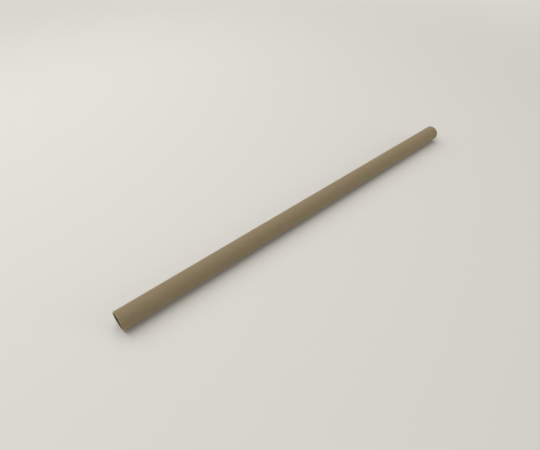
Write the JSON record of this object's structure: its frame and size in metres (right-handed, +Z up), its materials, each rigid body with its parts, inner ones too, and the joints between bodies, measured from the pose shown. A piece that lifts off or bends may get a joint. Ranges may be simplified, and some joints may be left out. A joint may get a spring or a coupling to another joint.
{
  "type": "cardboard mailing tube",
  "caption": "Long, thin open-ended cardboard tube with a spiral-wound wall, for rolled papers and posters sent by post.",
  "frame": {"origin": "under the middle of the tube, on the line where it touches the surface that it lies on", "axes": "+X along the tube, from the near end to the far end in the picture; +Y to the left of +X seen from above; +Z up"},
  "size_m": [1, 0.0398, 0.04],
  "materials": {
    "kraft_board": "matt tan kraft board, wound in a spiral"
  },
  "bodies": {
    "root": {"tube": "kraft_board"}
  },
  "joints": []
}
